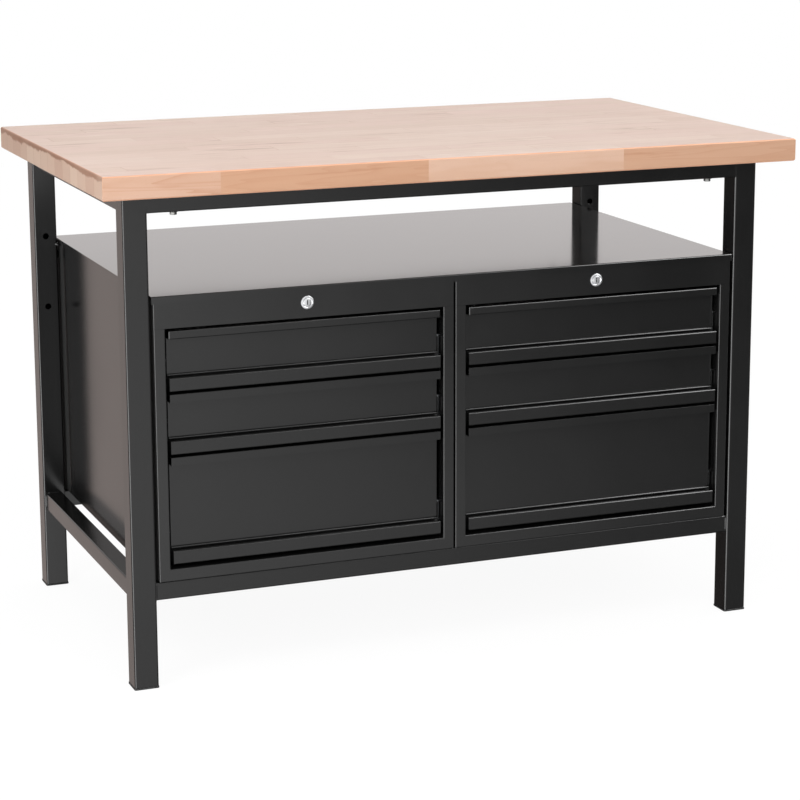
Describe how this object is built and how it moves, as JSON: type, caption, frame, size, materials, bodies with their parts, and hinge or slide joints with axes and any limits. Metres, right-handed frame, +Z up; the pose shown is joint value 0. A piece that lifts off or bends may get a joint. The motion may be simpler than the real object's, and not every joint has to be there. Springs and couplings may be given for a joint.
{
  "type": "workbench with drawers",
  "caption": "Beech-topped workbench on a black square-tube frame, with two steel drawer cabinets under an open shelf, recessed fronts, bar grips and cam locks.",
  "frame": {"origin": "on the floor, under the middle of the worktop", "axes": "+X to the right along the worktop's length, +Y to the back, +Z up; the drawers pull out towards -Y"},
  "size_m": [1.2, 0.7, 0.84],
  "materials": {
    "beech": "oiled laminated beech",
    "black_steel": "satin black powder coat",
    "runner_steel": "bright zinc plate",
    "foot_plastic": "matte black",
    "lock_chrome": "polished chrome"
  },
  "bodies": {
    "bench": {"worktop": "beech", "leg_front_left": "black_steel", "foot_cap_front_left": "foot_plastic", "leg_front_right": "black_steel", "foot_cap_front_right": "foot_plastic", "leg_back_left": "black_steel", "foot_cap_back_left": "foot_plastic", "leg_back_right": "black_steel", "foot_cap_back_right": "foot_plastic", "top_rail_front": "black_steel", "top_rail_back": "black_steel", "top_rail_left": "black_steel", "top_rail_right": "black_steel", "low_rail_front": "black_steel", "low_rail_back": "black_steel", "low_rail_left": "black_steel", "low_rail_right": "black_steel", "shelf_sheet": "black_steel", "cabinet_left": "black_steel", "lock_housing_left": "lock_chrome", "cabinet_spacer_left": "black_steel", "runner_left_top_left": "runner_steel", "runner_left_top_right": "runner_steel", "runner_left_middle_left": "runner_steel", "runner_left_middle_right": "runner_steel", "runner_left_bottom_left": "runner_steel", "runner_left_bottom_right": "runner_steel", "cabinet_right": "black_steel", "lock_housing_right": "lock_chrome", "cabinet_spacer_right": "black_steel", "runner_right_top_left": "runner_steel", "runner_right_top_right": "runner_steel", "runner_right_middle_left": "runner_steel", "runner_right_middle_right": "runner_steel", "runner_right_bottom_left": "runner_steel", "runner_right_bottom_right": "runner_steel"},
    "drawer_left_top": {"drawer_left_top": "black_steel", "front_left_top": "black_steel", "grip_left_top": "black_steel"},
    "drawer_left_middle": {"drawer_left_middle": "black_steel", "front_left_middle": "black_steel", "grip_left_middle": "black_steel"},
    "drawer_left_bottom": {"drawer_left_bottom": "black_steel", "front_left_bottom": "black_steel", "grip_left_bottom": "black_steel"},
    "lock_left": {"lock_plug_left": "lock_chrome", "lock_cam_left": "runner_steel"},
    "drawer_right_top": {"drawer_right_top": "black_steel", "front_right_top": "black_steel", "grip_right_top": "black_steel"},
    "drawer_right_middle": {"drawer_right_middle": "black_steel", "front_right_middle": "black_steel", "grip_right_middle": "black_steel"},
    "drawer_right_bottom": {"drawer_right_bottom": "black_steel", "front_right_bottom": "black_steel", "grip_right_bottom": "black_steel"},
    "lock_right": {"lock_plug_right": "lock_chrome", "lock_cam_right": "runner_steel"}
  },
  "joints": [
    {"name": "slide_left_top", "type": "slide", "parent": "bench", "child": "drawer_left_top", "axis": [0, -1, 0], "range_m": [0, 0.45]},
    {"name": "slide_left_middle", "type": "slide", "parent": "bench", "child": "drawer_left_middle", "axis": [0, -1, 0], "range_m": [0, 0.45]},
    {"name": "slide_left_bottom", "type": "slide", "parent": "bench", "child": "drawer_left_bottom", "axis": [0, -1, 0], "range_m": [0, 0.45]},
    {"name": "turn_lock_left", "type": "hinge", "parent": "bench", "child": "lock_left", "pos_m": [-0.256, -0.296, 0.613], "axis": [0, 1, 0], "range_deg": [0, 90]},
    {"name": "slide_right_top", "type": "slide", "parent": "bench", "child": "drawer_right_top", "axis": [0, -1, 0], "range_m": [0, 0.45]},
    {"name": "slide_right_middle", "type": "slide", "parent": "bench", "child": "drawer_right_middle", "axis": [0, -1, 0], "range_m": [0, 0.45]},
    {"name": "slide_right_bottom", "type": "slide", "parent": "bench", "child": "drawer_right_bottom", "axis": [0, -1, 0], "range_m": [0, 0.45]},
    {"name": "turn_lock_right", "type": "hinge", "parent": "bench", "child": "lock_right", "pos_m": [0.256, -0.296, 0.613], "axis": [0, 1, 0], "range_deg": [0, 90]}
  ]
}
